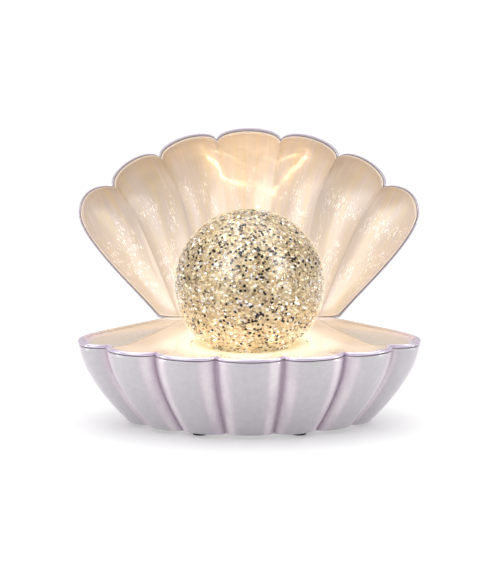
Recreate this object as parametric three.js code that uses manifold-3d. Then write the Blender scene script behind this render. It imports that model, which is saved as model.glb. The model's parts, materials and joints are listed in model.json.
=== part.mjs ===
// Tabletop glitter-globe light in an open scallop shell. Millimetres, +Z up, the shell opens towards -Y.
// The origin is under the middle of the object, on the surface it stands on.
//
// Both shells share one fan outline, a little wider on the upper shell. A point of the fan is given by x,
// across, and reach, the distance from the straight hinge edge. The lower shell lies flat; the upper shell
// leans back from the hinge.

import * as THREE from 'three';
import { mergeVertices } from 'three/addons/utils/BufferGeometryUtils.js';
import Module from 'manifold-3d';

// ---- Driving dimensions ------------------------------------------------------------------------

const GAP = 0.35; // between pieces that touch

const FAN = {
  widestReach: 70,
  notches: [
    new THREE.Vector2(21.5, 120.5),
    new THREE.Vector2(59.8, 108.5),
    new THREE.Vector2(91, 88.5),
  ],
  lobeBulge: [10, 10.6, 10.9], // middle lobe, next lobe, next again
  middle: new THREE.Vector2(0, 58), // centre that the outline is scaled about
  hingeShare: 0.53, // hinge edge width over the widest width
  cornerRise: 3, // rounding of the hinge corners
};
const LOWER_HALF_WIDTH = 111.4;
const UPPER_HALF_WIDTH = 115.5;
const LOBE_STEPS = 6;
const SIDE_STEPS = 5;

const HINGE_Y = 27.1; // the straight rear edge of the lower shell
const RIM_Z = 55; // top of the lower shell's wall
const FLOOR_GAP = 2; // height of the feet
const LEAN = THREE.MathUtils.degToRad(25); // upper shell, back from upright
const PIVOT = new THREE.Vector3(0, HINGE_Y + 1.6, RIM_Z + 3);
const UPPER_EDGE = new THREE.Vector2(-0.6, 1); // hinge edge of the upper shell, behind and above the pivot

const GLOBE = { radius: 50, wall: 2, reach: 61, z: 91.5, neckRadius: 21, neckBottom: 43.2 };
const GLOBE_Y = HINGE_Y - GLOBE.reach;

const BAY = { length: 58.4, width: 45.4, roof: 22.2, reach: 61.5 };
const BATTERY = { radius: 7.25, length: 49.5, pitch: 14.9, z: 13.1 };
const BAY_Y = HINGE_Y - BAY.reach;
const PLATE_Z = 3.8; // underside of the base plate
const PLATE_THICK = 1.8;
const COVER_RADIUS = 37.6;

const BRACKET_SCREWS = [-18.4, 18.4]; // across the motor
const MOTOR = { radius: 12.2, bottom: BAY.roof + GAP, top: 34.8 };
const BOARD_Z = 35.1;
const BOARD_THICK = 1.4;
const SWITCH = { x: -53, reach: 62, travel: 4 };

const KNUCKLE = { radius: 2.6, bore: 1.5, pin: 1.2, reach: 26, split: 11.5 };
const REAR_SCREWS = [-18, 18]; // across the lower leaf
const HINGE_CLEARANCE = 3.1;

// ---- Materials ---------------------------------------------------------------------------------

const finish = (color, roughness, metalness = 0, opacity = 1) =>
  new THREE.MeshStandardMaterial({ color, roughness, metalness, opacity, transparent: opacity < 1 });

const LOOKS = {
  lavender: finish(0xc9c6d2, 0.25),
  cream: finish(0xead6c0, 0.3),
  glass: finish(0xffffff, 0.05, 0, 0.25),
  liquid: finish(0xe8cf98, 0.2, 0, 0.8),
  frosted: finish(0xfff2cf, 0.4),
  clear: finish(0xf2f4f4, 0.1, 0, 0.5),
  rubber: finish(0x2b2a2c, 0.8),
  silicone: finish(0xd9dad8, 0.5),
  dark: finish(0x303238, 0.5),
  white: finish(0xe9e6e0, 0.5),
  steel: finish(0xb9bcc0, 0.3, 1),
  board: finish(0x2f6b45, 0.5),
  led: finish(0xfff6df, 0.15),
  cell: finish(0x39424f, 0.4),
  lead: finish(0xa62b27, 0.5),
};

// ---- Solid helpers -----------------------------------------------------------------------------

const wasm = await Module();
wasm.setup();

const object = new THREE.Group();

function place(name, geometry, look, parent = object) {
  const mesh = new THREE.Mesh(geometry, look);
  mesh.name = name;
  parent.add(mesh);
  return mesh;
}

function positionsOnly(geometry) {
  const plain = geometry.clone();
  for (const attribute of Object.keys(plain.attributes)) {
    if (attribute !== 'position') plain.deleteAttribute(attribute);
  }
  return mergeVertices(plain, 1e-4);
}

function toManifold(geometry) {
  const welded = positionsOnly(geometry);
  return new wasm.Manifold(new wasm.Mesh({
    numProp: 3,
    vertProperties: new Float32Array(welded.attributes.position.array),
    triVerts: new Uint32Array(welded.index.array),
  }));
}

function fromManifold(solid) {
  const mesh = solid.getMesh();
  const geometry = new THREE.BufferGeometry();
  geometry.setAttribute('position', new THREE.BufferAttribute(new Float32Array(mesh.vertProperties), 3));
  geometry.setIndex(new THREE.BufferAttribute(new Uint32Array(mesh.triVerts), 1));
  geometry.computeVertexNormals();
  return geometry;
}

function join(...geometries) {
  let solid = toManifold(geometries[0]);
  for (const geometry of geometries.slice(1)) solid = solid.add(toManifold(geometry));
  return fromManifold(solid);
}

function cut(geometry, ...cutters) {
  let solid = toManifold(geometry);
  for (const cutter of cutters) solid = solid.subtract(toManifold(cutter));
  return fromManifold(solid);
}

// A box given by its lowest and highest corners.
function block(low, high) {
  const size = high.map((value, axis) => value - low[axis]);
  const centre = high.map((value, axis) => (value + low[axis]) / 2);
  return new THREE.BoxGeometry(...size).translate(...centre);
}

// An upright round bar from one height to another.
function post(x, y, low, high, radius, sides = 12) {
  return new THREE.CylinderGeometry(radius, radius, high - low, sides)
    .rotateX(Math.PI / 2)
    .translate(x, y, (low + high) / 2);
}

// A round bar along X.
function bar(low, high, radius, sides = 12) {
  return new THREE.CylinderGeometry(radius, radius, high - low, sides)
    .rotateZ(Math.PI / 2)
    .translate((low + high) / 2, 0, 0);
}

// A turned piece about the vertical axis from [radius, height] pairs. A profile that doesn't start on
// the axis is closed on itself.
function turned(profile, segments = 24) {
  const points = profile.map(([radius, height]) => new THREE.Vector2(radius, height));
  if (profile[0][0] > 0) points.push(points[0].clone());
  const geometry = positionsOnly(new THREE.LatheGeometry(points, segments));
  return outward(geometry.rotateX(Math.PI / 2));
}

// Turns the faces round if they point inwards.
function outward(geometry) {
  const place = geometry.attributes.position;
  const order = geometry.index.array;
  const [a, b, c] = [new THREE.Vector3(), new THREE.Vector3(), new THREE.Vector3()];
  let volume = 0;
  for (let i = 0; i < order.length; i += 3) {
    a.fromBufferAttribute(place, order[i]);
    b.fromBufferAttribute(place, order[i + 1]);
    c.fromBufferAttribute(place, order[i + 2]);
    volume += a.dot(b.cross(c));
  }
  if (volume < 0) {
    for (let i = 0; i < order.length; i += 3) [order[i], order[i + 1]] = [order[i + 1], order[i]];
  }
  geometry.computeVertexNormals();
  return geometry;
}

function indexed(points, triangles) {
  const geometry = new THREE.BufferGeometry();
  const flat = points.flatMap((point) => [point.x, point.y, point.z]);
  geometry.setAttribute('position', new THREE.Float32BufferAttribute(flat, 3));
  geometry.setIndex(triangles);
  return outward(geometry);
}

// A solid swept through rings that each have the same number of points, the last joined to the first.
function ringSolid(rings) {
  const count = rings[0].length;
  const triangles = [];
  for (let ring = 0; ring < rings.length; ring += 1) {
    const here = ring * count;
    const next = ((ring + 1) % rings.length) * count;
    for (let i = 0; i < count; i += 1) {
      const j = (i + 1) % count;
      triangles.push(here + i, here + j, next + j, here + i, next + j, next + i);
    }
  }
  return indexed(rings.flat(), triangles);
}

// A flat plate of a [x, y] outline with round or straight-sided holes.
function plate(outline, holes, low, high) {
  const shape = new THREE.Shape(outline);
  shape.holes.push(...holes.map((hole) => new THREE.Path(hole)));
  return new THREE.ExtrudeGeometry(shape, { depth: high - low, bevelEnabled: false }).translate(0, 0, low);
}

function circle(x, y, radius, count = 24) {
  return Array.from({ length: count }, (_, i) => {
    const angle = (2 * Math.PI * i) / count;
    return new THREE.Vector2(x + radius * Math.cos(angle), y + radius * Math.sin(angle));
  });
}

function rectangle(x, y, width, depth) {
  const [halfX, halfY] = [width / 2, depth / 2];
  const corners = [[-1, -1], [1, -1], [1, 1], [-1, 1]];
  return corners.map(([i, j]) => new THREE.Vector2(x + i * halfX, y + j * halfY));
}

// A soft tube through the given points.
function tube(points, radius, steps, sides = 6) {
  const path = new THREE.CatmullRomCurve3(points.map((point) => new THREE.Vector3(...point)));
  const section = new THREE.Shape(circle(0, 0, radius, sides));
  return new THREE.ExtrudeGeometry(section, { steps, extrudePath: path });
}

function panScrew(headRadius, headHeight, shankRadius, length) {
  return turned([
    [0, -headHeight],
    [headRadius, -headHeight],
    [headRadius, 0],
    [shankRadius, 0],
    [shankRadius, length - shankRadius],
    [0, length],
  ], 8);
}

// ---- The fan outline ---------------------------------------------------------------------------

function bezier(points, t) {
  const curve = new THREE.CubicBezierCurve(...points);
  return curve.getPoint(t);
}

// The front edge from the middle of the middle lobe to the widest point. flute is 1 in the middle of a
// lobe and 0 in a notch.
function frontHalf(widest) {
  const stations = [];
  const [inner, , outer] = FAN.notches;
  const starts = [new THREE.Vector2(-inner.x, inner.y), ...FAN.notches];
  FAN.lobeBulge.forEach((bulge, lobe) => {
    const [start, end] = [starts[lobe], starts[lobe + 1]];
    const along = end.clone().sub(start);
    const out = new THREE.Vector2(-along.y, along.x).normalize();
    for (let step = lobe === 0 ? LOBE_STEPS / 2 : 0; step < LOBE_STEPS; step += 1) {
      const turn = (Math.PI * step) / LOBE_STEPS;
      const point = start.clone().addScaledVector(along, (1 - Math.cos(turn)) / 2);
      point.addScaledVector(out, bulge * Math.sin(turn));
      stations.push({ x: point.x, reach: point.y, flute: Math.sin(turn), widest });
    }
  });
  const tip = new THREE.Vector2(widest, FAN.widestReach);
  const shoulder = [outer, new THREE.Vector2(97, 90.8), new THREE.Vector2(widest, 90.5), tip];
  for (let step = 0; step <= LOBE_STEPS; step += 1) {
    const t = step / LOBE_STEPS;
    const point = bezier(shoulder, t);
    stations.push({ x: point.x, reach: point.y, flute: Math.sin(Math.PI * t), widest });
  }
  return stations;
}

// The whole front edge, from the left widest point to the right one.
function frontStations(widest) {
  const half = frontHalf(widest);
  const left = half.slice(1).reverse().map((station) => ({ ...station, x: -station.x }));
  return [...left, ...half];
}

// A line over the shell from a point of the front edge back to the hinge edge; along runs from 0 to 1.
// The lines of the two widest points are the shell's side edges.
function meridian(station, along) {
  const across = Math.abs(station.x) / station.widest;
  const side = Math.sign(station.x);
  const edge = across ** 8;
  const rim = new THREE.Vector2(station.x, station.reach);
  const heel = new THREE.Vector2(station.x * FAN.hingeShare, FAN.cornerRise * across ** 12);
  const shoulder = rim.clone().sub(FAN.middle).multiplyScalar(0.75).add(FAN.middle);
  const waist = rim.clone().sub(FAN.middle).multiplyScalar(0.8).add(FAN.middle);
  shoulder.lerp(new THREE.Vector2(side * station.widest, 56), edge);
  waist.lerp(heel, 0.55);
  waist.lerp(new THREE.Vector2(side * 0.755 * station.widest, 25), edge);
  return bezier([rim, shoulder, waist, heel], along);
}

// The closed outline, anticlockwise from above once reach points towards -Y.
function fanOutline() {
  const stations = frontStations(LOWER_HALF_WIDTH);
  const [first, last] = [stations[0], stations[stations.length - 1]];
  const front = stations.map((station) => new THREE.Vector2(station.x, station.reach));
  const sideSteps = Array.from({ length: SIDE_STEPS }, (_, i) => (i + 1) / SIDE_STEPS);
  const right = sideSteps.map((along) => meridian(last, along));
  const rear = stations.slice(1, -1).reverse().filter((_, i) => i % 5 === 2).map((s) => meridian(s, 1));
  const left = sideSteps.toReversed().map((along) => meridian(first, along));
  return [...front, ...right, ...rear, ...left];
}

const OUTLINE = fanOutline();

function scaledOutline(scale) {
  return OUTLINE.map((point) => point.clone().sub(FAN.middle).multiplyScalar(scale).add(FAN.middle));
}

// One level ring of the lower half: the outline scaled about its middle, at a height.
function levelRing(scale, z) {
  return scaledOutline(scale).map((point) => new THREE.Vector3(point.x, HINGE_Y - point.y, z));
}

// ---- Lower shell and its deck ------------------------------------------------------------------

// How far the wall has drawn in at a height: 1 at the rim.
function wallScale(z) {
  const drop = (RIM_Z - z) / (RIM_Z - FLOOR_GAP);
  return 1 - 0.29 * drop ** 1.6;
}

const WALL_SHARE = 0.03;
const WALL_HEIGHTS = [43, 28, 13];
const LEDGE = { scale: 0.655, low: 5.9, high: 7.6, recess: 0.685 };
const BOSS_SCALE = 0.63;
const BASE_BOSSES = [[109, 80], [80, 108.5]];

function bossPlaces() {
  return BASE_BOSSES.flatMap(([x, reach]) => [1, -1].map((side) => {
    const point = new THREE.Vector2(side * x, reach).sub(FAN.middle).multiplyScalar(BOSS_SCALE);
    point.add(FAN.middle);
    return [point.x, HINGE_Y - point.y];
  }));
}

function lowerShell() {
  const rings = [
    levelRing(1, RIM_Z),
    ...WALL_HEIGHTS.map((z) => levelRing(wallScale(z), z)),
    levelRing(0.718, 3.8),
    levelRing(0.7, FLOOR_GAP),
    levelRing(LEDGE.recess, FLOOR_GAP),
    levelRing(LEDGE.recess, LEDGE.low),
    levelRing(LEDGE.scale, LEDGE.low),
    levelRing(LEDGE.scale, LEDGE.high),
    levelRing(0.703, LEDGE.high + 0.4),
    ...WALL_HEIGHTS.slice(0, -1).reverse().map((z) => levelRing(wallScale(z) - WALL_SHARE, z)),
    levelRing(1 - WALL_SHARE, RIM_Z),
  ];
  const bosses = bossPlaces().map(([x, y]) => post(x, y, LEDGE.low, 16, 4.4));
  const pilots = bossPlaces().map(([x, y]) => post(x, y, LEDGE.low - 1, 13, 1.5));
  const leafHoles = REAR_SCREWS.map((x) => leafScrewHole(x));
  return cut(join(ringSolid(rings), ...bosses), ...pilots, ...leafHoles);
}

const DECK = { holeRadius: 39.3, holeZ: 52.6, thick: 2, sag: 0.6, flute: 1.1, bossRadius: 41 };
const DECK_STEPS = 3;

// The deck falls from the rim bead to the round hole under the globe. share runs from 0 at the foot of
// the bead to 1 at the hole.
function deckRing(share, below) {
  const rim = levelRing(0.962, RIM_Z + 1.2);
  return rim.map((point, i) => {
    const angle = Math.atan2(point.y - GLOBE_Y, point.x);
    const hole = new THREE.Vector3(
      DECK.holeRadius * Math.cos(angle),
      GLOBE_Y + DECK.holeRadius * Math.sin(angle),
      DECK.holeZ,
    );
    const wave = i < FRONT_FLUTES.length ? FRONT_FLUTES[i] : 0;
    const mixed = point.clone().lerp(hole, share);
    const middle = Math.sin(Math.PI * share);
    mixed.z -= below + (DECK.sag + DECK.flute * (wave - 0.5)) * middle;
    return mixed;
  });
}

const FRONT_FLUTES = frontStations(LOWER_HALF_WIDTH).map((station) => station.flute);

function collarAngles() {
  return [90, 210, 330].map((degrees) => THREE.MathUtils.degToRad(degrees));
}

function collarPlaces() {
  return collarAngles().map((angle) => [
    DECK.bossRadius * Math.cos(angle),
    GLOBE_Y + DECK.bossRadius * Math.sin(angle),
  ]);
}

function shellDeck() {
  const shares = Array.from({ length: DECK_STEPS + 1 }, (_, i) => i / DECK_STEPS);
  const rings = [
    levelRing(1, RIM_Z + GAP),
    levelRing(1.005, RIM_Z + 1.3),
    levelRing(0.998, RIM_Z + 2.3),
    levelRing(0.988, RIM_Z + 2.7),
    levelRing(0.976, RIM_Z + 2.3),
    ...shares.map((share) => deckRing(share, 0)),
    ...shares.slice(1).reverse().map((share) => deckRing(share, DECK.thick)),
    levelRing(0.955, RIM_Z + GAP),
  ];
  const bosses = collarPlaces().map(([x, y]) => post(x, y, 48.7, 51.8, 3.2));
  const pilots = collarPlaces().map(([x, y]) => post(x, y, 48, 51.4, 1.7));
  const relief = bar(-27, 27, HINGE_CLEARANCE, 16).translate(0, PIVOT.y, PIVOT.z);
  return cut(join(ringSolid(rings), ...bosses), ...pilots, relief);
}

// ---- Upper shell -------------------------------------------------------------------------------

const DISH_FLUTE = 3.2;
const DISH_LAYERS = {
  skinOut: { scale: 1, depth: 36 },
  skinIn: { scale: 0.973, depth: 33.8 },
  linerOut: { scale: 0.964, depth: 32.7 },
  linerIn: { scale: 0.939, depth: 30.8 },
};
const DISH_ROWS = [0, 0.05, 0.15, 0.3, 0.5, 0.72, 0.9, 0.98, 1];

// A rise from 0 at either end to 1 in the middle, steep at the ends.
function dome(t, power) {
  return Math.max(0, 1 - Math.abs(2 * t - 1) ** power) ** (1 / power);
}

// A point of the dish: x across, y the depth behind the rim, z the reach above the hinge edge.
function dishPoint(station, along, layer) {
  const flat = meridian(station, along).sub(FAN.middle).multiplyScalar(layer.scale).add(FAN.middle);
  const across = Math.abs(station.x) / station.widest;
  const hollow = dome((1 + across) / 2, 2.3) * dome(along, 1.95);
  const flute = DISH_FLUTE * (station.flute - 0.5) * Math.min(1, hollow * 1.6);
  const depth = hollow === 0 ? 0 : layer.depth * hollow + flute;
  return new THREE.Vector3(flat.x, UPPER_EDGE.x + Math.max(depth, 0), flat.y + UPPER_EDGE.y);
}

// A shell between two layers of the dish, closed by a flat rim.
function dishShell(outer, inner) {
  const stations = frontStations(UPPER_HALF_WIDTH);
  const rows = DISH_ROWS.length;
  const count = stations.length * rows;
  const points = [outer, inner].flatMap((layer) => stations.flatMap(
    (station) => DISH_ROWS.map((along) => dishPoint(station, along, layer)),
  ));
  const triangles = [];
  const quad = (a, b, c, d) => triangles.push(a, b, c, a, c, d);
  const at = (i, j) => i * rows + j;
  const middle = (stations.length - 1) / 2; // the two halves are split into triangles as mirror images
  for (let i = 0; i < stations.length - 1; i += 1) {
    for (let j = 0; j < rows - 1; j += 1) {
      const corners = [at(i, j), at(i + 1, j), at(i + 1, j + 1), at(i, j + 1)];
      if (i < middle) corners.push(corners.shift());
      const [a, b, c, d] = corners;
      quad(a, b, c, d);
      quad(a + count, d + count, c + count, b + count);
    }
  }
  const lastStation = stations.length - 1;
  const edge = [
    ...stations.map((_, i) => at(i, 0)),
    ...DISH_ROWS.slice(1).map((_, j) => at(lastStation, j + 1)),
    ...stations.slice(1).map((_, i) => at(lastStation - 1 - i, rows - 1)),
    ...DISH_ROWS.slice(2).map((_, j) => at(0, rows - 2 - j)),
  ];
  edge.forEach((here, i) => {
    const next = edge[(i + 1) % edge.length];
    quad(next, here, here + count, next + count);
  });
  return indexed(points, triangles);
}

function buildUpperShell() {
  const leaning = new THREE.Group();
  leaning.position.copy(PIVOT);
  leaning.rotation.x = -LEAN;
  object.add(leaning);
  const relief = bar(-27, 27, HINGE_CLEARANCE, 16);
  const screwHoles = LEAF_SCREWS.map(([x, y]) => post(x, y, -6, 4, 1.5).rotateX(LEAN));
  const { skinOut, skinIn, linerOut, linerIn } = DISH_LAYERS;
  place('upper_shell', cut(dishShell(skinOut, skinIn), relief, ...screwHoles), LOOKS.lavender, leaning);
  place('upper_shell_liner', cut(dishShell(linerOut, linerIn), relief), LOOKS.cream, leaning);
}

// ---- Hinge -------------------------------------------------------------------------------------

const LEAF_SCREWS = [[-17, 9.4], [17, 9.4]]; // from the pivot, in the upper leaf
const LEAF_TILT = THREE.MathUtils.degToRad(8);
const LEAF = { top: -3.4, length: 14, thick: 1.2, screwDrop: 9 };

// The rear leaf hangs from just below the pivot and follows the wall, so it is built there and tilted.
function onLowerLeaf(geometry) {
  return geometry.rotateX(LEAF_TILT).translate(0, PIVOT.y, PIVOT.z + LEAF.top);
}

function leafScrewHole(x) {
  const hole = post(0, 0, -9, 4, 1.5).rotateX(-Math.PI / 2).translate(x, 0, -LEAF.screwDrop);
  return onLowerLeaf(hole);
}

function knuckle(low, high) {
  return bar(low, high, KNUCKLE.radius, 16);
}

function buildHinge() {
  const { reach, split } = KNUCKLE;
  const bore = bar(-reach - 1, reach + 1, KNUCKLE.bore, 12).translate(0, PIVOT.y, PIVOT.z);
  const lowerKnuckles = [[-reach, -split - 0.4], [split + 0.4, reach]].flatMap(([low, high]) => [
    knuckle(low, high).translate(0, PIVOT.y, PIVOT.z),
    block([low, PIVOT.y - 1, PIVOT.z - 4.4], [high, PIVOT.y + 1.4, PIVOT.z - 1]),
  ]);
  const back = onLowerLeaf(block([-reach, -1, -LEAF.length], [reach, -1 + LEAF.thick, 0]));
  const shelf = block([-reach, PIVOT.y - 1, PIVOT.z - 4.6], [reach, PIVOT.y + 5, PIVOT.z - 3.2]);
  const leafHoles = REAR_SCREWS.map((x) => leafScrewHole(x));
  const lowerLeaf = cut(join(back, shelf, ...lowerKnuckles), bore, ...leafHoles);
  place('lower_hinge_leaf', lowerLeaf, LOOKS.steel);

  const upper = new THREE.Group();
  upper.position.copy(PIVOT);
  object.add(upper);
  const plateLow = -2.6;
  const plateHigh = -1.4;
  const upperBore = bar(-split - 1, split + 1, KNUCKLE.bore, 12);
  const holes = LEAF_SCREWS.map(([x, y]) => post(x, y, -4, 0, 1.5));
  const upperLeaf = join(
    knuckle(-split, split),
    block([-split, 0, plateLow], [split, 5.4, plateHigh]),
    block([-24, 5.4, plateLow], [24, 13, plateHigh]),
  );
  place('upper_hinge_leaf', cut(upperLeaf, upperBore, ...holes), LOOKS.steel, upper);
  for (const [x, y] of LEAF_SCREWS) {
    const name = `upper_leaf_screw_${x < 0 ? 'left' : 'right'}`;
    const screw = place(name, panScrew(2.3, 1.4, 1.15, 4.6), LOOKS.steel, upper);
    screw.position.set(x, y, plateLow - GAP);
  }
  const pin = bar(-reach - 0.6, reach + 0.6, KNUCKLE.pin, 12).translate(0, PIVOT.y, PIVOT.z);
  place('hinge_pin', pin, LOOKS.steel);
  for (const x of REAR_SCREWS) {
    const screw = panScrew(2.3, 1.4, 1.15, 5.2).rotateX(Math.PI / 2);
    const seated = onLowerLeaf(screw.translate(x, -1 + LEAF.thick + GAP, -LEAF.screwDrop));
    place(`lower_leaf_screw_${x < 0 ? 'left' : 'right'}`, seated, LOOKS.steel);
  }
}

// ---- Globe, its seal and its seat --------------------------------------------------------------

// Points of a circle about the globe's centre, from a height down to where it meets the radius given.
function ballArc(radius, foot, steps) {
  const end = Math.asin(foot / radius);
  return Array.from({ length: steps + 1 }, (_, i) => {
    const angle = (Math.PI - end) * (i / steps);
    return [i === 0 ? 0 : radius * Math.sin(angle), GLOBE.z + radius * Math.cos(angle)];
  });
}

function buildGlobe() {
  const { radius, wall, neckRadius, neckBottom } = GLOBE;
  const inside = radius - wall;
  const neckInside = neckRadius - wall;
  const group = new THREE.Group();
  group.position.y = GLOBE_Y;
  object.add(group);
  place('globe', turned([
    ...ballArc(radius, neckRadius, 10),
    [neckRadius, neckBottom],
    [neckInside, neckBottom],
    ...ballArc(inside, neckInside, 9).reverse(),
  ], 26), LOOKS.glass, group);

  const fluidNeck = neckInside - GAP;
  place('globe_fluid', turned([
    ...ballArc(inside - 2 * GAP, fluidNeck, 9),
    [fluidNeck, 46.9],
    [16, 46.9],
    [16, 56],
    [0, 56],
  ], 24), LOOKS.liquid, group);

  place('globe_plug', cut(turned([
    [0, 41.6],
    [neckRadius, 41.6],
    [neckRadius, 42.8],
    [fluidNeck, 42.8],
    [fluidNeck - 0.3, 46.6],
    [0, 46.6],
  ], 28), post(0, 0, 44, 48, 1.3)), LOOKS.silicone, group);

  const seal = [[22.4, 46.6], [25.5, 46.6], [25.5, 48], [24.2, 47.2]];
  place('globe_gasket', turned(seal, 28), LOOKS.rubber, group);

  const [collarLow, collarHigh] = [43.9, 46.2];
  const { bossRadius } = DECK;
  const holes = collarAngles().map((angle) => [bossRadius * Math.cos(angle), bossRadius * Math.sin(angle)]);
  const collar = turned([
    [13.5, 39.6],
    [23.6, 39.6],
    [23.6, collarLow],
    [44, collarLow],
    [44, collarHigh],
    [neckRadius + GAP, collarHigh],
    [neckRadius + GAP, 41.2],
    [13.5, 41.2],
  ], 24);
  const collarHoles = holes.map(([x, y]) => post(x, y, collarLow - 1, collarHigh + 1, 1.8));
  place('globe_collar', cut(collar, ...collarHoles), LOOKS.clear, group);

  const ring = turned([
    [26.2, 46.6],
    [44, 46.6],
    [44, 48.3],
    [37.8, 48.3],
    [37.8, 52.5],
    [36.9, 53.2],
    [32.8, 53.2],
    [28.6, 50],
    [26.2, 48.3],
  ], 28);
  place('light_ring', cut(ring, ...holes.map(([x, y]) => post(x, y, 46, 49, 1.8))), LOOKS.frosted, group);
  holes.forEach(([x, y], i) => {
    const screw = place(`collar_screw_${i + 1}`, panScrew(2.8, 1.6, 1.35, 7.2), LOOKS.steel, group);
    screw.position.set(x, y, collarLow - GAP);
  });
}

// ---- Stirrer and drive -------------------------------------------------------------------------

function buildStirrer() {
  const group = new THREE.Group();
  group.position.y = GLOBE_Y;
  object.add(group);
  const blade = () => block([-13, -0.6, 49.6], [13, 0.6, 54.4]);
  const blades = [blade(), blade().rotateZ(Math.PI / 2)];
  const disc = turned([[0, 49], [12.4, 49], [12.4, 50.2], [3.4, 50.2], [3.4, 54.4], [0, 54.4]], 24);
  place('impeller', cut(join(disc, ...blades), post(0, 0, 48, 55, 1.3)), LOOKS.clear, group);
  const ringMagnet = (bore, low) => {
    const high = low + 1.5;
    return turned([[bore, low], [9.5, low], [9.5, high], [bore, high]], 20);
  };
  place('impeller_magnet', ringMagnet(2.4, 47.2), LOOKS.dark, group);
  place('impeller_pin', post(0, 0, 44.3, 54.8, 0.95), LOOKS.steel, group);

  place('motor', turned([
    [0, MOTOR.bottom],
    [MOTOR.radius, MOTOR.bottom],
    [MOTOR.radius, MOTOR.top - 1],
    [MOTOR.radius - 1, MOTOR.top],
    [3, MOTOR.top],
    [3, MOTOR.top + 0.8],
    [0, MOTOR.top + 0.8],
  ], 24), LOOKS.steel, group);
  place('motor_shaft', post(0, 0, MOTOR.top + 0.8 + GAP, 39.2, 1), LOOKS.steel, group);
  const holder = turned([[0, 37.6], [11, 37.6], [11, 39.1], [2.1, 39.1], [2.1, 40.9], [0, 40.9]], 24);
  place('magnet_holder', cut(holder, post(0, 0, 37, 39.6, 1.35)), LOOKS.white, group);
  place('drive_magnet', ringMagnet(2.45, 39.5), LOOKS.dark, group);

  const low = MOTOR.bottom;
  const ring = turned([[MOTOR.radius + GAP, low], [14.6, low], [14.6, 30], [MOTOR.radius + GAP, 30]], 24);
  const ears = [-1, 1].flatMap((side) => {
    const [near, far] = [13.6 * side, 25 * side].sort((a, b) => a - b);
    const [postNear, postFar] = [22 * side, 25 * side].sort((a, b) => a - b);
    return [
      block([near, -4, low], [far, 4, low + 2]),
      block([postNear, -4, low], [postFar, 4, BOARD_Z - GAP]),
    ];
  });
  const screwHoles = BRACKET_SCREWS.map((x) => post(x, 0, low - 1, low + 3, 1.5));
  place('motor_bracket', cut(join(ring, ...ears), ...screwHoles), LOOKS.white, group);
  BRACKET_SCREWS.forEach((x, i) => {
    const screw = panScrew(2.3, 1.3, 1.1, 3.1).rotateX(Math.PI);
    place(`bracket_screw_${i + 1}`, screw.translate(x, 0, low + 2 + GAP), LOOKS.steel, group);
  });
}

// ---- Lights ------------------------------------------------------------------------------------

function buildLights() {
  const hole = circle(0, GLOBE_Y, 7);
  const board = plate(circle(0, GLOBE_Y, 36, 36), [hole], BOARD_Z, BOARD_Z + BOARD_THICK);
  place('led_board', board, LOOKS.board);
  const bottom = BOARD_Z + BOARD_THICK + GAP;
  const bulb = turned([
    [0, bottom],
    [2.9, bottom],
    [2.9, bottom + 1],
    [2.5, bottom + 1],
    [2.5, bottom + 4.2],
    [1.8, bottom + 5.9],
    [0, bottom + 6.6],
  ], 10);
  for (let i = 0; i < 4; i += 1) {
    const angle = Math.PI / 4 + (i * Math.PI) / 2;
    const led = place(`led_${i + 1}`, bulb, LOOKS.led);
    led.position.set(30 * Math.cos(angle), GLOBE_Y + 30 * Math.sin(angle), 0);
  }
}

// ---- Base plate, batteries and switch ----------------------------------------------------------

function buildBase() {
  const outline = scaledOutline(0.67).map((point) => new THREE.Vector2(point.x, HINGE_Y - point.y));
  const plateTop = PLATE_Z + PLATE_THICK;
  const switchY = HINGE_Y - SWITCH.reach;
  const [wallOutX, wallOutY] = [BAY.length + 3, BAY.width + 3];
  const screwHoles = bossPlaces().map(([x, y]) => circle(x, y, 1.8, 12));
  const slot = rectangle(SWITCH.x, switchY, 9.4, 4.6);
  const holes = [circle(0, BAY_Y, COVER_RADIUS + 0.6, 26), slot, ...screwHoles];
  const floor = plate(outline, holes, PLATE_Z, plateTop);
  const opening = rectangle(0, BAY_Y, BAY.length, BAY.width);
  const collar = plate(circle(0, BAY_Y, 39.7, 26), [opening], plateTop - 0.1, plateTop + 1.4);
  const walls = plate(rectangle(0, BAY_Y, wallOutX, wallOutY), [opening], plateTop + 1, BAY.roof);
  const roof = plate(rectangle(0, BAY_Y, wallOutX, wallOutY), [], BAY.roof - 1.4, BAY.roof);
  const bracketHoles = BRACKET_SCREWS.map((x) => post(x, GLOBE_Y, BAY.roof - 2, BAY.roof + 1, 1.4));
  const standoffs = [-9, 9].map((dx) => post(SWITCH.x + dx, switchY + 9, plateTop - 0.5, 10.4, 1.8));
  const body = cut(join(floor, collar, walls, roof, ...standoffs), ...bracketHoles);
  place('base_plate', body, LOOKS.white);

  bossPlaces().forEach(([x, y], i) => {
    const screw = place(`base_screw_${i + 1}`, panScrew(2.7, 1.3, 1.2, 8.5), LOOKS.steel);
    screw.position.set(x, y, PLATE_Z - GAP);
  });

  const disc = post(0, BAY_Y, PLATE_Z, PLATE_Z + 1.5, COVER_RADIUS, 26);
  const grip = block([-24, BAY_Y - 2, PLATE_Z - 1.2], [24, BAY_Y + 2, PLATE_Z + 0.5]);
  place('battery_cover', join(disc, grip), LOOKS.white);

  const footPlaces = [[-32, 95.5], [32, 95.5], [-50, 42], [50, 42]];
  footPlaces.forEach(([x, reach], i) => {
    const y = HINGE_Y - reach;
    place(`foot_${i + 1}`, post(x, y, 0, PLATE_Z - GAP, 4.8, 14), LOOKS.rubber);
  });
}

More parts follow.
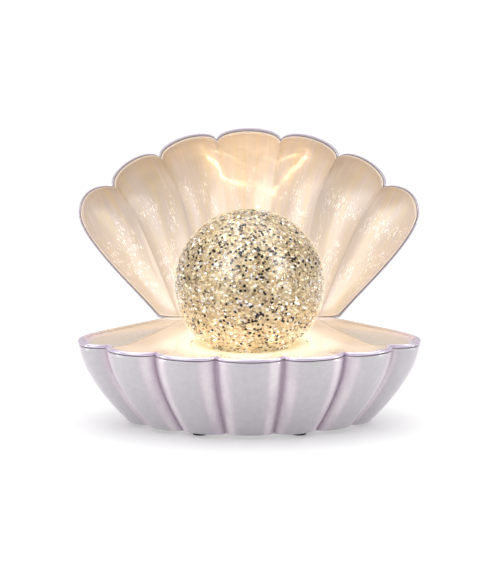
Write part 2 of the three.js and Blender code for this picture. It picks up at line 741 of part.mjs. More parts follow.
function buildPower() {
  const inside = BAY.length / 2;
  for (const [i, offset] of [-1, 0, 1].entries()) {
    const y = BAY_Y + offset * BATTERY.pitch;
    const side = offset === 0 ? -1 : 1;
    const nubEnd = -side * (inside - 0.95);
    const canEnd = nubEnd + side * 1.1;
    const farEnd = nubEnd + side * (BATTERY.length + 1);
    const can = new THREE.Vector2(Math.min(canEnd, farEnd), Math.max(canEnd, farEnd));
    const nub = new THREE.Vector2(Math.min(nubEnd, canEnd), Math.max(nubEnd, canEnd));
    const cell = join(
      bar(can.x, can.y, BATTERY.radius, 20),
      bar(nub.x - 0.1, nub.y + 0.1, 2.7, 12),
    );
    place(`battery_${i + 1}`, cell.translate(0, y, BATTERY.z), LOOKS.cell);
    const [start, end] = [farEnd + side * 0.6, side * (inside - 1.3)];
    const turns = 3;
    const points = Array.from({ length: turns * 8 + 1 }, (_, k) => {
      const angle = (k * Math.PI) / 4;
      const share = k / (turns * 8);
      const radius = 2.6 + 1.2 * share;
      const [dy, dz] = [radius * Math.cos(angle), radius * Math.sin(angle)];
      return [start + (end - start) * share, y + dy, BATTERY.z + dz];
    });
    place(`contact_spring_${i + 1}`, tube(points, 0.4, 18, 5), LOOKS.steel);
  }
  const [low, high] = [BATTERY.z - 5, BATTERY.z + 5];
  const half = BATTERY.pitch + 5;
  const left = block([-inside + 0.3, BAY_Y - half, low], [-inside + 0.65, BAY_Y + half, high]);
  const right = block([inside - 0.65, BAY_Y - half, low], [inside - 0.3, BAY_Y + half, high]);
  place('contact_plate_left', left, LOOKS.steel);
  place('contact_plate_right', right, LOOKS.steel);

  const y = HINGE_Y - SWITCH.reach;
  const plateTop = PLATE_Z + PLATE_THICK;
  const housing = block([SWITCH.x - 6.5, y - 3.6, plateTop + GAP], [SWITCH.x + 6.5, y + 3.6, plateTop + 4.4]);
  const track = block([SWITCH.x - 4.4, y - 1.8, plateTop - 1], [SWITCH.x + 4.4, y + 1.8, plateTop + 2.6]);
  place('power_switch_body', cut(housing, track), LOOKS.dark);
  const knobX = SWITCH.x - SWITCH.travel / 2;
  const knob = block([knobX - 2, y - 1.5, PLATE_Z - 0.8], [knobX + 2, y + 1.5, plateTop + 2.2]);
  place('power_switch_slider', knob, LOOKS.dark);
  const boardLow = plateTop + 4.4 + GAP + 0.3;
  const board = block([SWITCH.x - 12, y - 7, boardLow], [SWITCH.x + 12, y + 12, boardLow + 1.4]);
  place('control_board', board, LOOKS.board);
}

function buildLeads() {
  const y = HINGE_Y - SWITCH.reach;
  const boardTop = PLATE_Z + PLATE_THICK + 4.4 + GAP + 0.3 + 1.4;
  const near = SWITCH.x + 9;
  place('battery_lead', tube([
    [near, y - 4, boardTop + 1.2],
    [near + 2, y - 12, boardTop + 5],
    [-36, BAY_Y - 14, 17],
    [-32, BAY_Y - 14, 15],
  ], 0.8, 10), LOOKS.lead);
  place('motor_lead', tube([
    [near, y + 2, boardTop + 1.2],
    [-40, y + 1, 21],
    [-27, GLOBE_Y + 6, 26.5],
    [-15.4, GLOBE_Y + 5.4, 31.5],
    [-13.2, GLOBE_Y + 3, 32.2],
  ], 0.7, 12), LOOKS.lead);
  place('led_lead', tube([
    [near - 4, y + 8, boardTop + 1.2],
    [-44, y + 9, 22],
    [-34, GLOBE_Y + 10, 31],
    [-30, GLOBE_Y + 10, 34],
  ], 0.7, 10), LOOKS.lead);
}

// ---- Assembly ----------------------------------------------------------------------------------

place('lower_shell', lowerShell(), LOOKS.lavender);
place('shell_deck', shellDeck(), LOOKS.cream);
buildUpperShell();
buildHinge();
buildGlobe();
buildStirrer();
buildLights();
buildBase();
buildPower();
buildLeads();

export default object;
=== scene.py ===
import json
import math

import bpy
import bmesh
import numpy as np
from mathutils import Matrix, Vector


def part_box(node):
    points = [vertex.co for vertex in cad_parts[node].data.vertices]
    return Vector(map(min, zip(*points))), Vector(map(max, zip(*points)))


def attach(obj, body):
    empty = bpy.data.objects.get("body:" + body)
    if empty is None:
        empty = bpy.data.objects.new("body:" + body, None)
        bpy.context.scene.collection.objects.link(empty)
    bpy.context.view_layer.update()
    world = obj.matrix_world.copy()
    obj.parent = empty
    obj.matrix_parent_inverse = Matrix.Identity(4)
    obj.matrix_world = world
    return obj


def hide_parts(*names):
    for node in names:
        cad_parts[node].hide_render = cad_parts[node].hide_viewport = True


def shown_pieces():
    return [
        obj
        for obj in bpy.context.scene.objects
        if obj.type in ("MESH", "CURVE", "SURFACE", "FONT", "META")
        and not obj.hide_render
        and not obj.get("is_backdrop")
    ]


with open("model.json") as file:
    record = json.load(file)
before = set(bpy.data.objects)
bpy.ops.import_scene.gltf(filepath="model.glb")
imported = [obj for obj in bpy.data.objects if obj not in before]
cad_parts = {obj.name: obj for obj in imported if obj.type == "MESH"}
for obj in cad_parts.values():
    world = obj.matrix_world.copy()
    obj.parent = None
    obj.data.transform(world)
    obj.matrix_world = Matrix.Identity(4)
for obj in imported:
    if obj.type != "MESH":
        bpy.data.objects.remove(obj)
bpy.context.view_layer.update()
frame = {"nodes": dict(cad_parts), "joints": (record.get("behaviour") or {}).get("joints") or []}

MM = 0.001
rng = np.random.default_rng(7)

# ---- Sizes from the frame, in millimetres ---------------------------------------------------------


def box_mm(node):
    """The low and high corners of a node's box."""
    low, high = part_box(node)
    return np.array(low) / MM, np.array(high) / MM


joints = {joint["name"]: joint for joint in frame["joints"]}
PIVOT = np.array(joints["shell_tilt"]["pos_m"]) / MM
LOWER_LOW, LOWER_HIGH = box_mm("lower_shell")
HINGE_Y = LOWER_HIGH[1]
RIM_Z = LOWER_HIGH[2]
FLOOR_GAP = LOWER_LOW[2]
LOWER_HALF = LOWER_HIGH[0]
UPPER_HALF = box_mm("upper_shell")[1][0]
GLOBE_LOW, GLOBE_HIGH = box_mm("globe")
GLOBE_RADIUS = (GLOBE_HIGH[0] - GLOBE_LOW[0]) / 2
GLOBE = np.array([0.0, (GLOBE_LOW[1] + GLOBE_HIGH[1]) / 2, GLOBE_HIGH[2] - GLOBE_RADIUS])
NECK_LOW = GLOBE_LOW[2]

# ---- The fan outline, as the CAD part has it, with finer steps ------------------------------------

NOTCHES = [(21.5, 120.5), (59.8, 108.5), (91.0, 88.5)]  # x and reach from the hinge edge
BULGES = (10.0, 10.6, 10.9)  # of the middle lobe, the next, and the next again
LOBE_BAND = (2.4, 2.1, 1.7)  # how far the same lobes of the liner are drawn in
WIDEST_REACH = 70.0
SHOULDER_X, SHOULDER_TOP = 97, 90.5  # where the outermost lobe turns towards the widest point
SHOULDER_BAND = 1.3
MIDDLE = np.array([0.0, 58.0])  # the centre that the outline is scaled about
HINGE_SHARE = 0.53  # hinge edge width over the widest width
CORNER_RISE = 3.0  # rounding of the hinge corners
LEAN = math.radians(25)  # upper shell, back from upright
LOBE_STEPS = 22
NOTCH_ROUND = 0.75
EDGE_POWER, CORNER_POWER = 8, 12  # how sharply a change gathers at the sides and at the corners


def bezier(points, t):
    """The point at t on a cubic curve of four control points."""
    a, b, c, d = points
    u = 1 - t
    return u**3 * a + 3 * u * u * t * b + 3 * u * t * t * c + t**3 * d


def front_rows(widest, lift=0.0, slim=0.0):
    """x, reach, flute of the outline and flute of the surface, from the left widest point to the right.
    Both flutes are 0 in a notch and 1 in the middle of a lobe; the surface's rises more gently.
    lift moves the notches out and slim draws the lobes in."""
    notches = [np.array(notch) for notch in NOTCHES]
    notches = [notch + lift * (notch - MIDDLE) / np.linalg.norm(notch - MIDDLE) for notch in notches]
    starts = [notches[0] * [-1, 1], *notches]
    rows = []
    for lobe, bulge in enumerate(BULGES):
        start, end = starts[lobe], starts[lobe + 1]
        bulge -= lift + slim * LOBE_BAND[lobe]
        along = end - start
        out = np.array([-along[1], along[0]]) / np.linalg.norm(along)
        for step in range(LOBE_STEPS // 2 if lobe == 0 else 0, LOBE_STEPS):
            turn = math.pi * step / LOBE_STEPS
            point = start + along * (1 - math.cos(turn)) / 2 + out * bulge * math.sin(turn)
            rows.append((*point, math.sin(turn), math.sin(math.pi * (1 - math.cos(turn)) / 2)))
    top = SHOULDER_TOP - slim * SHOULDER_BAND
    shoulder = [
        notches[2],
        np.array((SHOULDER_X, top + 0.3)),
        np.array((widest, top)),
        np.array((widest, WIDEST_REACH)),
    ]
    for step in range(LOBE_STEPS + 1):
        t = step / LOBE_STEPS
        rows.append((*bezier(shoulder, t), math.sin(math.pi * t), math.sin(math.pi * t)))
    half = np.array(rows)
    left = half[:0:-1] * [-1, 1, 1, 1]
    return soften(np.vstack([left, half]), NOTCH_ROUND)


def soften(rows, reach):
    """Rounds the notches, and leaves the two ends where they are."""
    step = np.linalg.norm(np.diff(rows[:, :2], axis=0), axis=1)
    place = np.concatenate([[0], np.cumsum(step)])
    weight = np.exp(-0.5 * ((place[:, None] - place[None]) / reach) ** 2) * np.gradient(place)
    soft = weight @ rows / weight.sum(1, keepdims=True)
    free = np.clip(np.minimum(place, place[-1] - place) / (5 * reach), 0, 1)[:, None]
    return rows + (soft - rows) * free


def meridians(rows, alongs, widest):
    """The lines from each point of the front edge back to the hinge edge, as (rows, alongs, 2)."""
    x = rows[:, :1]
    across = np.abs(x) / widest
    side, edge = np.sign(x), across**EDGE_POWER
    rim = rows[:, :2]
    heel = np.hstack([x * HINGE_SHARE, CORNER_RISE * across**CORNER_POWER])
    shoulder = MIDDLE + 0.75 * (rim - MIDDLE)
    waist = MIDDLE + 0.8 * (rim - MIDDLE)
    shoulder += (np.hstack([side * widest, 0 * x + 56]) - shoulder) * edge
    waist += (heel - waist) * 0.55
    waist += (np.hstack([side * 0.755 * widest, 0 * x + 25]) - waist) * edge
    return np.stack([bezier([rim, shoulder, waist, heel], t) for t in alongs], axis=1)


def eased(count):
    """Steps from 0 to 1, closer together at both ends."""
    return (1 - np.cos(np.pi * np.arange(count + 1) / count)) / 2


def dome(t, power):
    """A rise from 0 at either end to 1 in the middle, steep at the ends."""
    return np.maximum(0, 1 - np.abs(2 * t - 1) ** power) ** (1 / power)


def hollow_of(rows, alongs, widest):
    """How deep a fan-shaped dish is at each grid point, from 0 at its border to 1."""
    across = np.abs(rows[:, :1]) / widest
    return dome((1 + across) / 2, 2.3) * dome(alongs[None, :], 1.95)


def smooth(t):
    """An even step from 0 to 1 for t from 0 to 1."""
    t = np.clip(t, 0, 1)
    return t * t * (3 - 2 * t)


def fluting(rows, alongs):
    """The flutes of a surface: rounded near the front edge, and crested further back."""
    crest = rows[:, 3:4]
    rounded = 1 - smooth((alongs[None, :] - 0.06) / 0.26)
    return crest + (crest**2 - crest) * rounded


def edge_loop(rows, alongs):
    """Indices of a grid's border: front edge, right side, hinge edge, left side."""
    at = np.arange(rows * alongs).reshape(rows, alongs)
    return np.concatenate([at[:, 0], at[-1, 1:], at[-2::-1, -1], at[0, -2:0:-1]])


# ---- Mesh helpers ---------------------------------------------------------------------------------


def make_mesh(name, points, faces):
    """A smooth-shaded object from points in millimetres."""
    mesh = bpy.data.meshes.new(name)
    mesh.from_pydata((np.asarray(points) * MM).tolist(), [], faces)
    mesh.validate()
    work = bmesh.new()
    work.from_mesh(mesh)
    bmesh.ops.recalc_face_normals(work, faces=work.faces)
    work.to_mesh(mesh)
    work.free()
    mesh.polygons.foreach_set("use_smooth", [True] * len(mesh.polygons))
    thing = bpy.data.objects.new(name, mesh)
    bpy.context.scene.collection.objects.link(thing)
    return thing


def attribute(thing, name, values):
    """A value for each point of a mesh, which a material can read."""
    layer = thing.data.attributes.new(name, "FLOAT", "POINT")
    layer.data.foreach_set("value", np.asarray(values, np.float32))


def grid_faces(rows, alongs, start):
    at = start + np.arange(rows * alongs).reshape(rows, alongs)
    quads = np.stack([at[:-1, :-1], at[1:, :-1], at[1:, 1:], at[:-1, 1:]], axis=-1)
    return quads.reshape(-1, 4).tolist()


def band_faces(first, second):
    """Quads between two closed loops of indices."""
    one, two = np.asarray(first), np.asarray(second)
    return np.stack([one, np.roll(one, -1), np.roll(two, -1), two], axis=-1).tolist()


def join_loops(loops):
    return [face for first, second in zip(loops, loops[1:]) for face in band_faces(first, second)]


def two_sided(name, outer, inner, lips, size):
    """A closed shell: an outer grid, an inner grid and the lip rings between their borders."""
    rows, alongs = size
    count = rows * alongs
    loop = edge_loop(rows, alongs)
    points = [outer.reshape(-1, 3), inner.reshape(-1, 3), *lips]
    loops = [loop]
    start = 2 * count
    for lip in lips:
        loops.append(start + np.arange(len(lip)))
        start += len(lip)
    loops.append(loop + count)
    faces = grid_faces(rows, alongs, 0) + grid_faces(rows, alongs, count) + join_loops(loops)
    return make_mesh(name, np.vstack(points), faces)


ON_AXIS = 1e-6  # a radius below this is a point on the axis


def turned(name, profile, segments, centre):
    """A turned piece about a vertical axis. Points of the profile on the axis become poles."""
    angles = 2 * np.pi * np.arange(segments) / segments
    points, loops = [], []
    for radius, height in profile:
        first = len(points)
        if radius < ON_AXIS:
            points.append((centre[0], centre[1], height))
            loops.append([first])
        else:
            ring = zip(centre[0] + radius * np.cos(angles), centre[1] + radius * np.sin(angles))
            points += [(x, y, height) for x, y in ring]
            loops.append(list(range(first, first + segments)))
    faces = []
    for one, two in zip(loops, loops[1:]):
        if len(one) == 1 and len(two) > 1:
            faces += [[one[0], two[i], two[(i + 1) % segments]] for i in range(segments)]
        elif len(two) == 1 and len(one) > 1:
            faces += [[one[i], one[(i + 1) % segments], two[0]] for i in range(segments)]
        elif len(one) > 1:
            faces += band_faces(one, two)
    return make_mesh(name, points, faces)


def cut_with(thing, *cutters):
    """Cuts the cutters out of a piece for good, and removes them."""
    for cutter in cutters:
        modifier = thing.modifiers.new("cut", "BOOLEAN")
        modifier.operation = "DIFFERENCE"
        modifier.solver = "EXACT"
        modifier.object = cutter
    evaluated = thing.evaluated_get(bpy.context.evaluated_depsgraph_get())
    mesh = bpy.data.meshes.new_from_object(evaluated)
    thing.modifiers.clear()
    thing.data = mesh
    for cutter in cutters:
        bpy.data.objects.remove(cutter)


HINGE_ROOM, HINGE_ROOM_LENGTH = 3.1, 54  # radius and length


def hinge_cutter():
    """The room that the hinge barrel turns in."""
    bpy.ops.mesh.primitive_cylinder_add(vertices=40, radius=HINGE_ROOM * MM, depth=HINGE_ROOM_LENGTH * MM)
    cutter = bpy.context.object
    on_side = Matrix.Rotation(math.pi / 2, 4, "Y")
    cutter.matrix_world = Matrix.Translation(Vector(PIVOT * MM)) @ on_side
    return cutter


# ---- Node helpers ---------------------------------------------------------------------------------


class Paint:
    """A material and short ways to add its nodes."""

    def __init__(self, name, tree=None):
        self.material = None
        if tree is None:
            self.material = bpy.data.materials.new(name)
            self.material.use_nodes = True
            tree = self.material.node_tree
        self.tree = tree

    def node(self, kind, settings=None, **inputs):
        made = self.tree.nodes.new("ShaderNode" + kind)
        for key, value in (settings or {}).items():
            setattr(made, key, value)
        for key, value in inputs.items():
            self.feed(made, key.replace("_", " "), value)
        return made

    def feed(self, node, key, value):
        socket = node.inputs[int(key)] if key.isdigit() else node.inputs[key]
        if isinstance(value, bpy.types.NodeSocket):
            self.tree.links.new(value, socket)
        else:
            socket.default_value = value

    def shader(self, **inputs):
        shader = self.tree.nodes["Principled BSDF"]
        for key, value in inputs.items():
            self.feed(shader, key.replace("_", " "), value)

    def place(self):
        return self.node("TexCoord").outputs["Object"]

    def value(self, name):
        return self.node("Attribute", {"attribute_name": name}).outputs["Fac"]

    def scaled(self, vector, scale):
        return self.node("Mapping", Vector=vector, Scale=scale).outputs[0]

    def noise(self, vector, scale, detail=2.0, rough=0.5):
        made = self.node("TexNoise", Vector=vector, Scale=scale, Detail=detail, Roughness=rough)
        return made.outputs["Fac"]

    def cells(self, vector, scale, feature="F1"):
        return self.node("TexVoronoi", {"feature": feature}, Vector=vector, Scale=scale)

    def math(self, operation, first, second=0.0):
        made = self.tree.nodes.new("ShaderNodeMath")
        made.operation = operation
        self.feed(made, "0", first)
        self.feed(made, "1", second)
        return made.outputs[0]

    def ramp(self, value, low, high, start=0.0, end=1.0):
        made = self.node("MapRange", {"interpolation_type": "SMOOTHSTEP"}, Value=value)
        limits = {"From Min": low, "From Max": high, "To Min": start, "To Max": end}
        for key, number in limits.items():
            made.inputs[key].default_value = number
        return made.outputs[0]

    def mix(self, share, first, second, blend="MIX"):
        made = self.tree.nodes.new("ShaderNodeMix")
        made.data_type = "RGBA"
        made.blend_type = blend
        made.clamp_factor = True
        for socket, value in ((0, share), (6, first), (7, second)):
            if isinstance(value, bpy.types.NodeSocket):
                self.tree.links.new(value, made.inputs[socket])
            elif socket == 0:
                made.inputs[0].default_value = value
            else:
                made.inputs[socket].default_value = (*value, 1.0)
        return made.outputs[2]

    def bump(self, height, distance, strength=1.0):
        return self.node("Bump", Height=height, Distance=distance, Strength=strength).outputs[0]


def dress(thing, material):
    thing.data.materials.clear()
    thing.data.materials.append(material)


# ---- Materials ------------------------------------------------------------------------------------


def pearl_grain(paint):
    """The fine mica grain of a pearl lacquer, as a height and as a share from 0 to 1."""
    fine = paint.noise(paint.place(), 1600, 2)
    coarse = paint.noise(paint.place(), 260, 3)
    return paint.math("ADD", paint.math("MULTIPLY", fine, 0.6), paint.math("MULTIPLY", coarse, 0.4))


def lavender_colour(paint):
    """Grey on the crests and lilac in the grooves, with a broken, pale painted highlight beside each
    groove in place of the lamps' reflections on the flanks.
    """
    flute = paint.value("flute")
    clouds = paint.noise(paint.scaled(paint.place(), (1, 1, 0.35)), 26, 2)
    lilac = paint.mix(clouds, (0.54, 0.455, 0.535), (0.58, 0.49, 0.555))
    grey = paint.mix(clouds, (0.445, 0.445, 0.465), (0.495, 0.47, 0.495))
    middle = paint.ramp(paint.math("ADD", flute, paint.math("MULTIPLY", clouds, 0.6)), 0.3, 1.5)
    body = paint.mix(middle, lilac, grey)
    # painted highlight: a pale stripe on the flanks beside each groove, where the lamps' reflection would
    # fall
    painted_highlight = paint.math("MULTIPLY", paint.ramp(flute, 0.10, 0.32), paint.ramp(flute, 0.72, 0.45))
    streaks = paint.noise(paint.scaled(paint.place(), (1, 1, 0.1)), 70, 2)
    broken = paint.ramp(streaks, 0.35, 0.6, 0.15, 0.6)
    # mixes in the pale colour of the painted highlight, broken up by the streaks
    return paint.mix(paint.math("MULTIPLY", painted_highlight, broken), body, (0.78, 0.72, 0.74))


def lavender_pearl():
    paint = Paint("lavender_pearl")
    grain = pearl_grain(paint)
    tone = paint.ramp(grain, 0.35, 0.65, 0.94, 1.05)
    body = lavender_colour(paint)
    level = paint.node("CombineColor", Red=tone, Green=tone, Blue=tone).outputs[0]
    colour = paint.mix(1.0, body, level, "MULTIPLY")
    colour = paint.mix(paint.value("lip"), colour, (0.42, 0.375, 0.43))
    paint.shader(
        Base_Color=colour,
        Metallic=0.4,
        Roughness=paint.ramp(grain, 0.3, 0.7, 0.28, 0.38),
        Coat_Weight=0.6,
        Coat_Roughness=0.12,
        Coat_IOR=1.6,
        Sheen_Weight=0.12,
        Sheen_Roughness=0.35,
        Sheen_Tint=(0.86, 0.72, 1.0, 1.0),
        Normal=paint.bump(grain, 0.00002, 0.4),
    )
    return paint.material


def cream_parts(paint):
    """Colour and sparkle share of the inner pearl, with its grain of streaks along the flutes. The colour
    holds painted shade beside the ridges, and the sparkle is painted glints: the globe's glitter
    reflected in the liner.
    """
    flute, across, along = paint.value("flute"), paint.value("across"), paint.value("along")
    place = paint.node("CombineXYZ", X=across, Y=along).outputs[0]
    wide = paint.noise(paint.scaled(place, (26, 1.6, 1)), 1.0, 3, 0.6)
    thin = paint.noise(paint.scaled(place, (150, 3.5, 1)), 1.0, 2, 0.6)
    patches = paint.noise(paint.place(), 22, 2)
    base = paint.mix(paint.ramp(patches, 0.35, 0.65), (0.665, 0.55, 0.455), (0.63, 0.53, 0.465))
    tan = paint.mix(paint.ramp(wide, 0.42, 0.66), base, (0.67, 0.545, 0.385))
    pink = paint.mix(paint.ramp(thin, 0.5, 0.72, 0.0, 0.6), tan, (0.78, 0.65, 0.59))
    # painted shade: the colour darkens beside the ridges of the flutes, away from the front edge
    shade = paint.math("MULTIPLY", paint.ramp(flute, 0.0, 0.8, 0.4, 0.0), paint.ramp(along, 0.06, 0.3))
    colour = paint.mix(shade, pink, (0.53, 0.44, 0.39))
    # painted glints: fine bright streaks in clusters, standing in for the glitter's reflections in the
    # liner
    streak = paint.noise(paint.scaled(place, (420, 19, 1)), 1.0, 2, 0.8)
    cluster = paint.noise(paint.scaled(place, (14, 5, 1)), 1.0, 2)
    inside = paint.math("MULTIPLY", paint.ramp(along, 0.16, 0.34), paint.ramp(along, 0.98, 0.7))
    painted_glints = paint.math("MULTIPLY", paint.ramp(streak, 0.59, 0.65), paint.ramp(cluster, 0.45, 0.56))
    painted_glints = paint.math("MULTIPLY", painted_glints, paint.math("MULTIPLY", inside, paint.ramp(flute, 0.15, 0.6)))
    return colour, painted_glints


def cream_pearl():
    paint = Paint("cream_pearl")
    grain = pearl_grain(paint)
    colour, painted_glints = cream_parts(paint)
    paint.shader(
        # the painted glints whiten the colour here and glow in the emission below
        Base_Color=paint.mix(painted_glints, colour, (1.0, 0.96, 0.98)),
        Metallic=0.15,
        Roughness=paint.ramp(grain, 0.3, 0.7, 0.30, 0.40),
        Coat_Weight=0.5,
        Coat_Roughness=0.12,
        Emission_Color=(1.0, 0.95, 0.93, 1.0),
        Emission_Strength=paint.math("MULTIPLY", painted_glints, 0.65),
        Normal=paint.bump(grain, 0.00002, 0.4),
    )
    return paint.material


def deck_pearl():
    """Lavender on the rim bead, which fades into cream on the deck. A painted warm glow round the globe
    stands in for the LEDs' light spilling on the deck.
    """
    paint = Paint("deck_pearl")
    grain = pearl_grain(paint)
    cream, _ = cream_parts(paint)
    rim = paint.value("rim")
    plain = paint.mix(0.75, cream, (0.545, 0.425, 0.31))
    out = paint.node("VectorMath", {"operation": "SUBTRACT"})
    paint.feed(out, "0", paint.scaled(paint.place(), (1, 1, 0)))
    out.inputs[1].default_value = (0, GLOBE[1] * MM, 0)
    far = paint.node("VectorMath", {"operation": "LENGTH"}, **{"0": out.outputs[0]}).outputs["Value"]
    lilac = paint.mix(0.5, lavender_colour(paint), (0.55, 0.43, 0.63))
    paint.shader(
        Base_Color=paint.mix(rim, plain, lilac),
        Metallic=paint.ramp(rim, 0.4, 1.0, 0.05, 0.35),
        Roughness=paint.ramp(grain, 0.3, 0.7, 0.20, 0.28),
        Coat_Weight=1.0,
        Coat_Roughness=0.04,
        Coat_IOR=1.9,
        # painted light: the deck glows warm near the globe's hole and fades out further away
        Emission_Color=(1.0, 0.92, 0.74, 1.0),
        Emission_Strength=paint.ramp(far, 0.040, 0.068, 0.75, 0.0),
        Normal=paint.bump(grain, 0.00002, 0.4),
    )
    return paint.material


def clear_glass():
    """A thin clear wall: its faces reflect and let the rest straight through. A painted warm glow
    brightens the ball's edge, where the wall is seen at a slant.
    """
    paint = Paint("clear_glass")
    tree = paint.tree
    tree.nodes.remove(tree.nodes["Principled BSDF"])
    facing = paint.node("LayerWeight", Blend=0.35).outputs["Facing"]
    clear = paint.node("BsdfTransparent", Color=(1, 1, 1, 1)).outputs[0]
    # painted glow: warm light on the glass where it is seen at a slant, at the ball's edge
    edge = paint.ramp(facing, 0.5, 0.98, 0.0, 0.30)
    painted_edge_glow = paint.node("Emission", Color=(1.0, 0.84, 0.48, 1.0), Strength=edge).outputs[0]
    through = paint.node("AddShader", **{"0": clear, "1": painted_edge_glow}).outputs[0]
    gloss = paint.node("BsdfGlossy", Roughness=0.2).outputs[0]
    outside = paint.math("SUBTRACT", 1.0, paint.node("NewGeometry").outputs["Backfacing"])
    share = paint.math("MULTIPLY", paint.node("Fresnel", IOR=1.5).outputs[0], outside)
    mixed = paint.node("MixShader", **{"0": share, "1": through, "2": gloss})
    tree.links.new(mixed.outputs[0], tree.nodes["Material Output"].inputs[0])
    return paint.material


def glitter_cloud():
    """The liquid seen deep: packed glitter that melts into a mottled gold, with a painted warm glow low
    down.
    """
    paint = Paint("glitter_cloud")
    small = paint.cells(paint.place(), 620).outputs["Color"]
    tone = paint.node("SeparateColor", Color=small).outputs[0]
    mottled = paint.noise(paint.place(), 240, 3, 0.7)
    dark = paint.mix(paint.ramp(tone, 0.15, 0.7), (0.34, 0.24, 0.13), (0.72, 0.56, 0.33))
    colour = paint.mix(paint.ramp(tone, 0.66, 0.95), dark, (0.98, 0.88, 0.66))
    colour = paint.mix(paint.ramp(mottled, 0.35, 0.7, 0.0, 0.6), colour, (0.86, 0.70, 0.43))
    # painted light: a warm glow, strongest low down near the LEDs under the globe, fading upwards
    height = paint.node("SeparateXYZ", Vector=paint.place()).outputs[2]
    glow = paint.ramp(height, 0.045, 0.100, 0.5, 0.04)
    paint.shader(
        Base_Color=colour,
        Roughness=0.45,
        Emission_Color=paint.mix(0.5, colour, (1.0, 0.80, 0.45)),
        Emission_Strength=glow,
    )
    return paint.material


def glitter_foil():
    """Foil flakes: each flake's tone picks dark, tan, gold, cream or white."""
    paint = Paint("glitter_foil")
    tone = paint.value("tone")
    low = paint.mix(paint.ramp(tone, 0.02, 0.06), (0.004, 0.004, 0.005), (0.16, 0.10, 0.055))
    mid = paint.mix(paint.ramp(tone, 0.10, 0.45), low, (0.70, 0.51, 0.25))
    high = paint.mix(paint.ramp(tone, 0.40, 0.75), mid, (1.0, 0.86, 0.55))
    high = paint.mix(paint.ramp(tone, 0.76, 0.80), high, (0.80, 0.75, 0.76))
    colour = paint.mix(paint.ramp(tone, 0.86, 0.93), high, (1.0, 0.98, 0.96))
    # painted light: flakes glow warm low down near the LEDs, and the brightest flakes glow as painted
    # glints
    height = paint.node("SeparateXYZ", Vector=paint.place()).outputs[2]
    glow = paint.ramp(height, 0.045, 0.105, 0.34, 0.06)
    lit = paint.math("MULTIPLY", glow, paint.ramp(tone, 0.05, 0.4))
    painted_glow_and_glints = paint.math("ADD", lit, paint.ramp(tone, 0.88, 0.97, 0.0, 0.55))
    paint.shader(
        Base_Color=colour,
        Metallic=paint.ramp(tone, 0.05, 0.3, 0.0, 0.55),
        Roughness=0.28,
        Specular_IOR_Level=0.08,
        Emission_Color=colour,
        Emission_Strength=painted_glow_and_glints,
    )
    return paint.material


def frosted_ring():
    paint = Paint("frosted_ring")
    grain = paint.noise(paint.place(), 900, 3)
    paint.shader(
        Base_Color=paint.mix(grain, (0.95, 0.90, 0.74), (1.0, 0.96, 0.84)),
        Roughness=0.5,
        Emission_Color=(1.0, 0.84, 0.48, 1.0),
        Emission_Strength=0.25,
        Normal=paint.bump(grain, 0.00003, 0.3),
    )
    return paint.material


def moulded(name, colour, roughness, speck=0.06):
    """Moulded plastic or rubber with a fine spark-eroded grain."""
    paint = Paint(name)
    grain = paint.noise(paint.place(), 900, 4, 0.6)
    clouds = paint.noise(paint.place(), 40, 2)
    dark = tuple(c * (1 - speck) for c in colour)
    light = tuple(min(1.0, c * (1 + speck)) for c in colour)
    paint.shader(
        Base_Color=paint.mix(clouds, dark, light),
        Roughness=paint.ramp(grain, 0.3, 0.7, roughness - 0.06, roughness + 0.08),
        Normal=paint.bump(grain, 0.00004, 0.5),
    )
    return paint.material


def metal(name, colour, roughness):
    """Plated or rolled metal with fine drawn lines and dull spots."""
    paint = Paint(name)
    lines = paint.noise(paint.scaled(paint.place(), (40, 900, 900)), 1.0, 2)
    spots = paint.noise(paint.place(), 180, 3)
    dark = tuple(c * 0.86 for c in colour)
    paint.shader(
        Base_Color=paint.mix(spots, dark, colour),
        Metallic=1.0,
        Roughness=paint.ramp(spots, 0.3, 0.75, roughness - 0.07, roughness + 0.12),
        Normal=paint.bump(lines, 0.00001, 0.5),
    )
    return paint.material


def see_through(name, colour, roughness, share):
    paint = Paint(name)
    grain = paint.noise(paint.place(), 500, 2)
    paint.shader(
        Base_Color=paint.mix(grain, tuple(c * 0.92 for c in colour), colour),
        Roughness=paint.ramp(grain, 0.3, 0.7, roughness, roughness + 0.1),
        Alpha=share,
    )
    return paint.material


def board_green():
    paint = Paint("circuit_board")
    weave = paint.noise(paint.scaled(paint.place(), (900, 60, 1)), 1.0, 2)
    tracks = paint.cells(paint.place(), 420, "DISTANCE_TO_EDGE").outputs["Distance"]
    base = paint.mix(weave, (0.02, 0.13, 0.06), (0.03, 0.19, 0.09))
    paint.shader(
        Base_Color=paint.mix(paint.ramp(tracks, 0.05, 0.09), (0.06, 0.30, 0.15), base),
        Roughness=0.35,
        Coat_Weight=0.5,
        Coat_Roughness=0.15,
    )
    return paint.material


def cell_wrap():
    """A battery's printed sleeve, in two plain bands."""
    paint = Paint("battery_wrap")
    x = paint.node("SeparateXYZ", Vector=paint.place()).outputs[0]
    bands = paint.ramp(paint.math("ABSOLUTE", x), 0.0148, 0.0150)
    haze = paint.noise(paint.place(), 300, 2)
    dark = paint.mix(haze, (0.035, 0.045, 0.06), (0.05, 0.06, 0.08))
    paint.shader(
        Base_Color=paint.mix(bands, dark, (0.66, 0.42, 0.16)),
        Metallic=0.4,
        Roughness=0.3,
        Coat_Weight=0.4,
    )
    return paint.material


def warm_bulb():
    paint = Paint("warm_led")
    haze = paint.noise(paint.place(), 600, 2)
    paint.shader(
        Base_Color=paint.mix(haze, (0.95, 0.85, 0.6), (1.0, 0.93, 0.75)),
        Roughness=0.15,
        Emission_Color=(1.0, 0.82, 0.5, 1.0),
        Emission_Strength=3.0,
    )
    return paint.material


